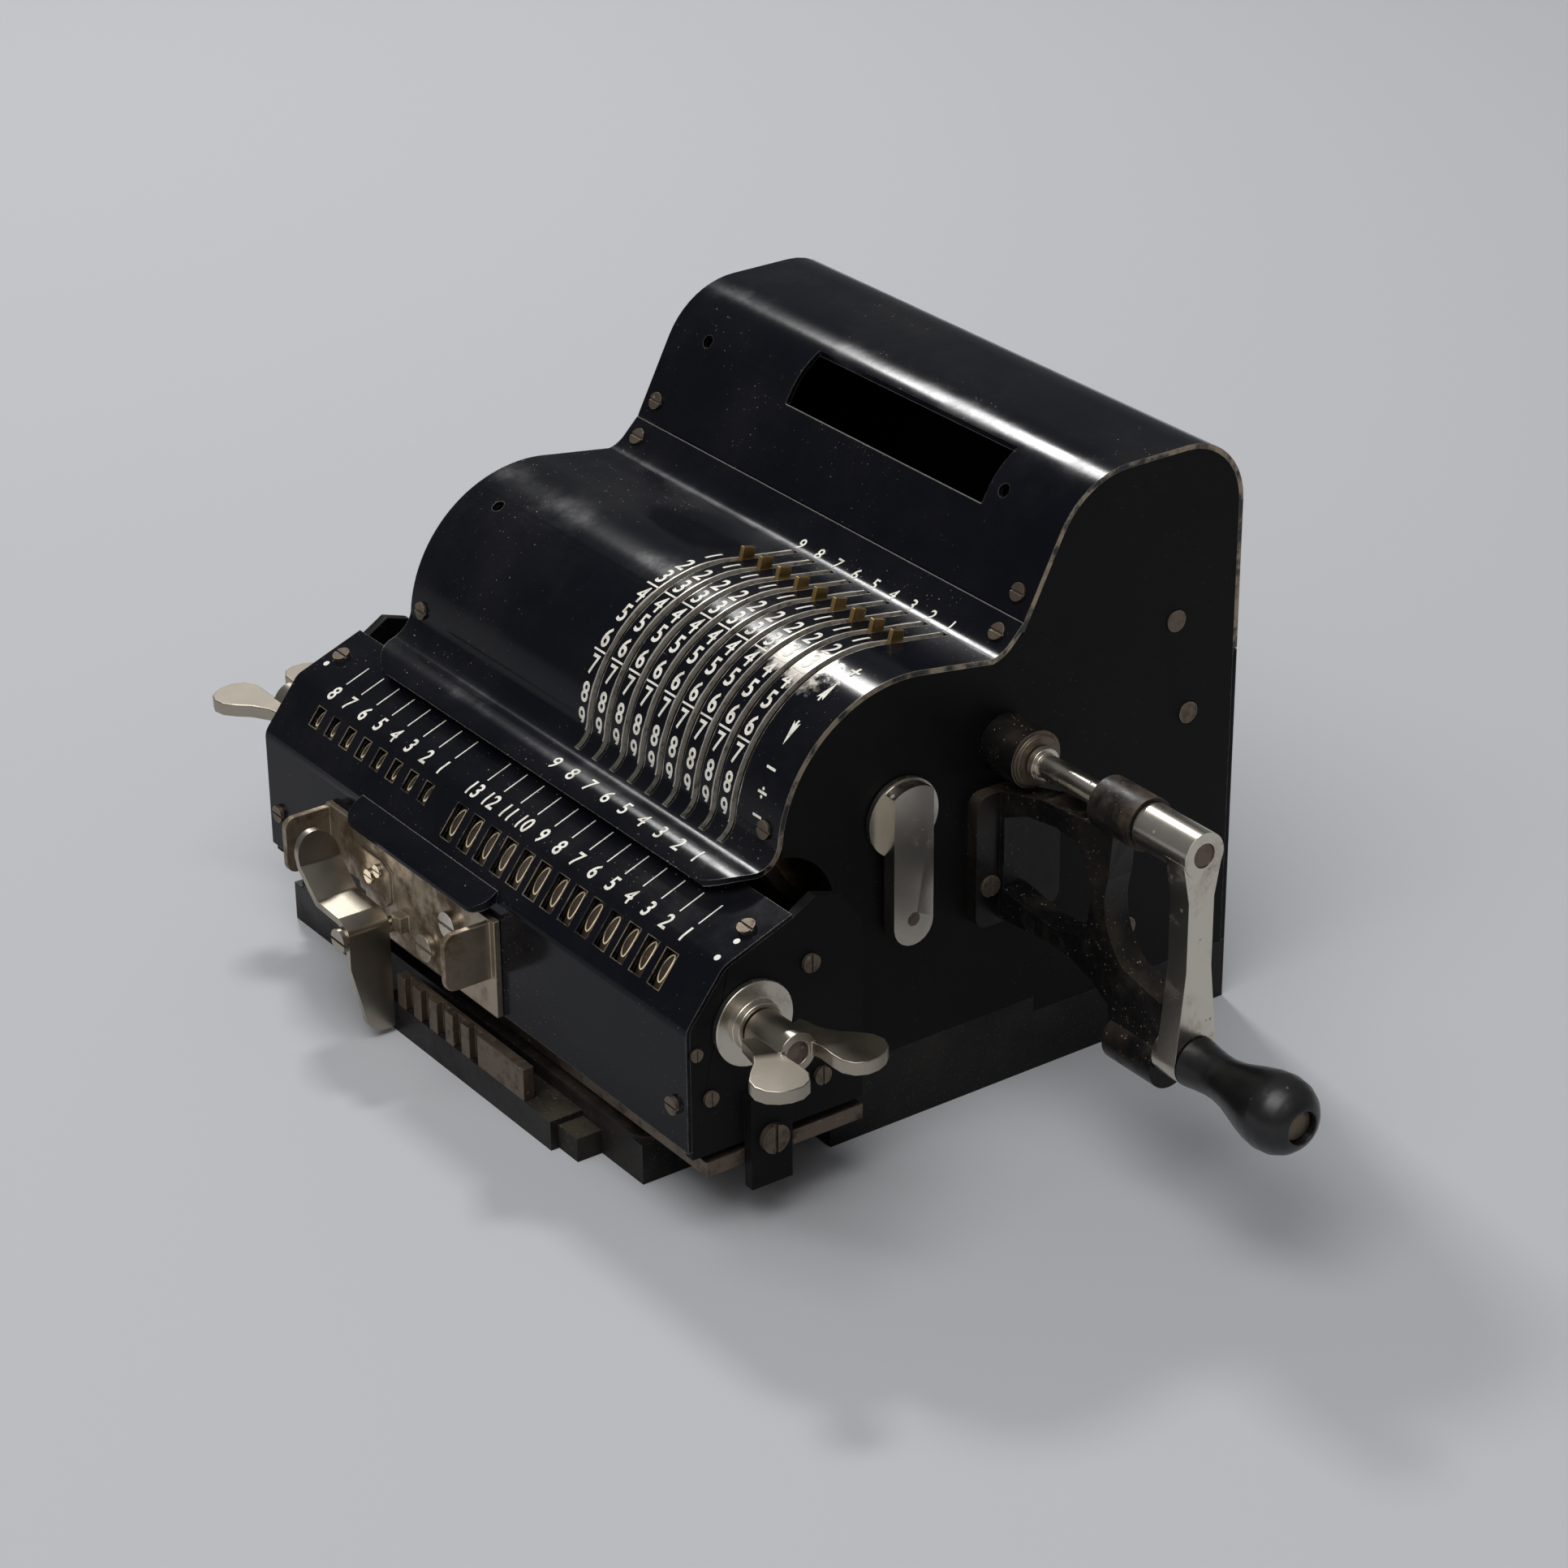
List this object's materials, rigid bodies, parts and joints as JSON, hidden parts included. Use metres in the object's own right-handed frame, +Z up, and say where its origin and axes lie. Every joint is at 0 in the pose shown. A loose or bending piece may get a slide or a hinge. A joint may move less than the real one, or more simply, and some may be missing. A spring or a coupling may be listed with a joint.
{
  "type": "pinwheel calculator",
  "caption": "Desktop pinwheel calculator: slotted drum cover with setting levers, hand crank at the right, sliding register carriage with wing nuts in front.",
  "frame": {"origin": "on the underside of the base, on the casing's mid-plane, below the seam between hood and front cover", "axes": "+X to the operator's right along the crank axis, +Y to the back of the casing, +Z up"},
  "size_m": [0.2755, 0.1666, 0.1341],
  "materials": {
    "black_enamel": "glossy black enamel, dusty, chipped to bright steel at the edges",
    "black_japan": "matt black on castings and plates, dusty and rubbed",
    "nickel_plate": "worn warm nickel plating with brown tarnish",
    "worn_brass": "dull brass with brown tarnish",
    "dark_steel": "bare steel browned with age",
    "number_wheel": "dark brown lacquer with gold digits",
    "black_wood": "turned knob in black satin lacquer"
  },
  "bodies": {
    "casing": {"base_frame": "black_enamel", "shift_rack": "nickel_plate", "right_side_plate": "black_japan", "left_side_plate": "black_japan", "front_cover": "black_enamel", "hood": "black_enamel", "rear_cover": "black_enamel", "casing_screws": "dark_steel", "shaft_bearings": "black_japan", "crank_bracket": "black_japan", "tie_rods": "dark_steel"},
    "drum": {"drum_shaft": "dark_steel", "drum_gear": "worn_brass", "pinwheels": "dark_steel"},
    "digit_lever_1": {"setting_lever_1": "worn_brass"},
    "digit_lever_2": {"setting_lever_2": "worn_brass"},
    "digit_lever_3": {"setting_lever_3": "worn_brass"},
    "digit_lever_4": {"setting_lever_4": "worn_brass"},
    "digit_lever_5": {"setting_lever_5": "worn_brass"},
    "digit_lever_6": {"setting_lever_6": "worn_brass"},
    "digit_lever_7": {"setting_lever_7": "worn_brass"},
    "digit_lever_8": {"setting_lever_8": "worn_brass"},
    "digit_lever_9": {"setting_lever_9": "worn_brass"},
    "crank": {"crank_shaft": "nickel_plate", "crank_gear": "worn_brass", "crank_arm": "nickel_plate"},
    "knob": {"crank_knob": "black_wood"},
    "clearing": {"clearing_lever": "nickel_plate"},
    "carriage": {"carriage_cover": "black_enamel", "carriage_end_plates": "black_japan", "carriage_runners": "dark_steel", "carriage_screws": "dark_steel", "key_plate": "nickel_plate", "axle_flanges": "nickel_plate"},
    "shift": {"shift_lever": "nickel_plate"},
    "result_clear": {"result_axle": "dark_steel", "result_wing_nut": "nickel_plate"},
    "counter_clear": {"counter_axle": "dark_steel", "counter_wing_nut": "nickel_plate"},
    "result_1": {"result_wheel_1": "number_wheel"},
    "result_2": {"result_wheel_2": "number_wheel"},
    "result_3": {"result_wheel_3": "number_wheel"},
    "result_4": {"result_wheel_4": "number_wheel"},
    "result_5": {"result_wheel_5": "number_wheel"},
    "result_6": {"result_wheel_6": "number_wheel"},
    "result_7": {"result_wheel_7": "number_wheel"},
    "result_8": {"result_wheel_8": "number_wheel"},
    "result_9": {"result_wheel_9": "number_wheel"},
    "result_10": {"result_wheel_10": "number_wheel"},
    "result_11": {"result_wheel_11": "number_wheel"},
    "result_12": {"result_wheel_12": "number_wheel"},
    "result_13": {"result_wheel_13": "number_wheel"},
    "counter_1": {"counter_wheel_1": "number_wheel"},
    "counter_2": {"counter_wheel_2": "number_wheel"},
    "counter_3": {"counter_wheel_3": "number_wheel"},
    "counter_4": {"counter_wheel_4": "number_wheel"},
    "counter_5": {"counter_wheel_5": "number_wheel"},
    "counter_6": {"counter_wheel_6": "number_wheel"},
    "counter_7": {"counter_wheel_7": "number_wheel"},
    "counter_8": {"counter_wheel_8": "number_wheel"}
  },
  "joints": [
    {"name": "drum_spin", "type": "hinge", "parent": "casing", "child": "drum", "pos_m": [0, -0.03, 0.0715], "axis": [1, 0, 0], "continuous": true},
    {"name": "crank_spin", "type": "hinge", "parent": "casing", "child": "crank", "pos_m": [0.1, -0.0048, 0.0808], "axis": [1, 0, 0], "continuous": true},
    {"name": "knob_spin", "type": "hinge", "parent": "crank", "child": "knob", "pos_m": [0.145, -0.0048, 0.0348], "axis": [1, 0, 0], "continuous": true},
    {"name": "set_digit_1", "type": "hinge", "parent": "drum", "child": "digit_lever_1", "pos_m": [0.0544, -0.03, 0.0715], "axis": [1, 0, 0], "range_deg": [0, 100]},
    {"name": "set_digit_2", "type": "hinge", "parent": "drum", "child": "digit_lever_2", "pos_m": [0.0479, -0.03, 0.0715], "axis": [1, 0, 0], "range_deg": [0, 100]},
    {"name": "set_digit_3", "type": "hinge", "parent": "drum", "child": "digit_lever_3", "pos_m": [0.0414, -0.03, 0.0715], "axis": [1, 0, 0], "range_deg": [0, 100]},
    {"name": "set_digit_4", "type": "hinge", "parent": "drum", "child": "digit_lever_4", "pos_m": [0.0349, -0.03, 0.0715], "axis": [1, 0, 0], "range_deg": [0, 100]},
    {"name": "set_digit_5", "type": "hinge", "parent": "drum", "child": "digit_lever_5", "pos_m": [0.0284, -0.03, 0.0715], "axis": [1, 0, 0], "range_deg": [0, 100]},
    {"name": "set_digit_6", "type": "hinge", "parent": "drum", "child": "digit_lever_6", "pos_m": [0.0219, -0.03, 0.0715], "axis": [1, 0, 0], "range_deg": [0, 100]},
    {"name": "set_digit_7", "type": "hinge", "parent": "drum", "child": "digit_lever_7", "pos_m": [0.0154, -0.03, 0.0715], "axis": [1, 0, 0], "range_deg": [0, 100]},
    {"name": "set_digit_8", "type": "hinge", "parent": "drum", "child": "digit_lever_8", "pos_m": [0.0089, -0.03, 0.0715], "axis": [1, 0, 0], "range_deg": [0, 100]},
    {"name": "set_digit_9", "type": "hinge", "parent": "drum", "child": "digit_lever_9", "pos_m": [0.0024, -0.03, 0.0715], "axis": [1, 0, 0], "range_deg": [0, 100]},
    {"name": "clear_levers", "type": "hinge", "parent": "casing", "child": "clearing", "pos_m": [0.0705, -0.0312, 0.072], "axis": [-1, 0, 0], "range_deg": [0, 100]},
    {"name": "carriage_slide", "type": "slide", "parent": "casing", "child": "carriage", "axis": [1, 0, 0], "range_m": [-0.013, 0.0325]},
    {"name": "shift_swing", "type": "hinge", "parent": "carriage", "child": "shift", "pos_m": [-0.0274, -0.095, 0.025], "axis": [0, 1, 0], "range_deg": [0, 8], "stiffness_Nm_per_rad": 0.3},
    {"name": "result_clear_spin", "type": "hinge", "parent": "carriage", "child": "result_clear", "pos_m": [0.082, -0.077, 0.0457], "axis": [1, 0, 0], "continuous": true},
    {"name": "counter_clear_spin", "type": "hinge", "parent": "carriage", "child": "counter_clear", "pos_m": [-0.0834, -0.077, 0.0457], "axis": [1, 0, 0], "continuous": true},
    {"name": "result_digit_1", "type": "hinge", "parent": "result_clear", "child": "result_1", "pos_m": [0.0674, -0.077, 0.0457], "axis": [1, 0, 0], "continuous": true},
    {"name": "result_digit_2", "type": "hinge", "parent": "result_clear", "child": "result_2", "pos_m": [0.0609, -0.077, 0.0457], "axis": [1, 0, 0], "continuous": true},
    {"name": "result_digit_3", "type": "hinge", "parent": "result_clear", "child": "result_3", "pos_m": [0.0544, -0.077, 0.0457], "axis": [1, 0, 0], "continuous": true},
    {"name": "result_digit_4", "type": "hinge", "parent": "result_clear", "child": "result_4", "pos_m": [0.0479, -0.077, 0.0457], "axis": [1, 0, 0], "continuous": true},
    {"name": "result_digit_5", "type": "hinge", "parent": "result_clear", "child": "result_5", "pos_m": [0.0414, -0.077, 0.0457], "axis": [1, 0, 0], "continuous": true},
    {"name": "result_digit_6", "type": "hinge", "parent": "result_clear", "child": "result_6", "pos_m": [0.0349, -0.077, 0.0457], "axis": [1, 0, 0], "continuous": true},
    {"name": "result_digit_7", "type": "hinge", "parent": "result_clear", "child": "result_7", "pos_m": [0.0284, -0.077, 0.0457], "axis": [1, 0, 0], "continuous": true},
    {"name": "result_digit_8", "type": "hinge", "parent": "result_clear", "child": "result_8", "pos_m": [0.0219, -0.077, 0.0457], "axis": [1, 0, 0], "continuous": true},
    {"name": "result_digit_9", "type": "hinge", "parent": "result_clear", "child": "result_9", "pos_m": [0.0154, -0.077, 0.0457], "axis": [1, 0, 0], "continuous": true},
    {"name": "result_digit_10", "type": "hinge", "parent": "result_clear", "child": "result_10", "pos_m": [0.0089, -0.077, 0.0457], "axis": [1, 0, 0], "continuous": true},
    {"name": "result_digit_11", "type": "hinge", "parent": "result_clear", "child": "result_11", "pos_m": [0.0024, -0.077, 0.0457], "axis": [1, 0, 0], "continuous": true},
    {"name": "result_digit_12", "type": "hinge", "parent": "result_clear", "child": "result_12", "pos_m": [-0.0041, -0.077, 0.0457], "axis": [1, 0, 0], "continuous": true},
    {"name": "result_digit_13", "type": "hinge", "parent": "result_clear", "child": "result_13", "pos_m": [-0.0106, -0.077, 0.0457], "axis": [1, 0, 0], "continuous": true},
    {"name": "counter_digit_1", "type": "hinge", "parent": "counter_clear", "child": "counter_1", "pos_m": [-0.0236, -0.077, 0.0457], "axis": [1, 0, 0], "continuous": true},
    {"name": "counter_digit_2", "type": "hinge", "parent": "counter_clear", "child": "counter_2", "pos_m": [-0.0301, -0.077, 0.0457], "axis": [1, 0, 0], "continuous": true},
    {"name": "counter_digit_3", "type": "hinge", "parent": "counter_clear", "child": "counter_3", "pos_m": [-0.0366, -0.077, 0.0457], "axis": [1, 0, 0], "continuous": true},
    {"name": "counter_digit_4", "type": "hinge", "parent": "counter_clear", "child": "counter_4", "pos_m": [-0.0431, -0.077, 0.0457], "axis": [1, 0, 0], "continuous": true},
    {"name": "counter_digit_5", "type": "hinge", "parent": "counter_clear", "child": "counter_5", "pos_m": [-0.0496, -0.077, 0.0457], "axis": [1, 0, 0], "continuous": true},
    {"name": "counter_digit_6", "type": "hinge", "parent": "counter_clear", "child": "counter_6", "pos_m": [-0.0561, -0.077, 0.0457], "axis": [1, 0, 0], "continuous": true},
    {"name": "counter_digit_7", "type": "hinge", "parent": "counter_clear", "child": "counter_7", "pos_m": [-0.0626, -0.077, 0.0457], "axis": [1, 0, 0], "continuous": true},
    {"name": "counter_digit_8", "type": "hinge", "parent": "counter_clear", "child": "counter_8", "pos_m": [-0.0691, -0.077, 0.0457], "axis": [1, 0, 0], "continuous": true}
  ],
  "couplings": [
    {"joint": "crank_spin", "follows": "drum_spin", "ratio": -1}
  ]
}
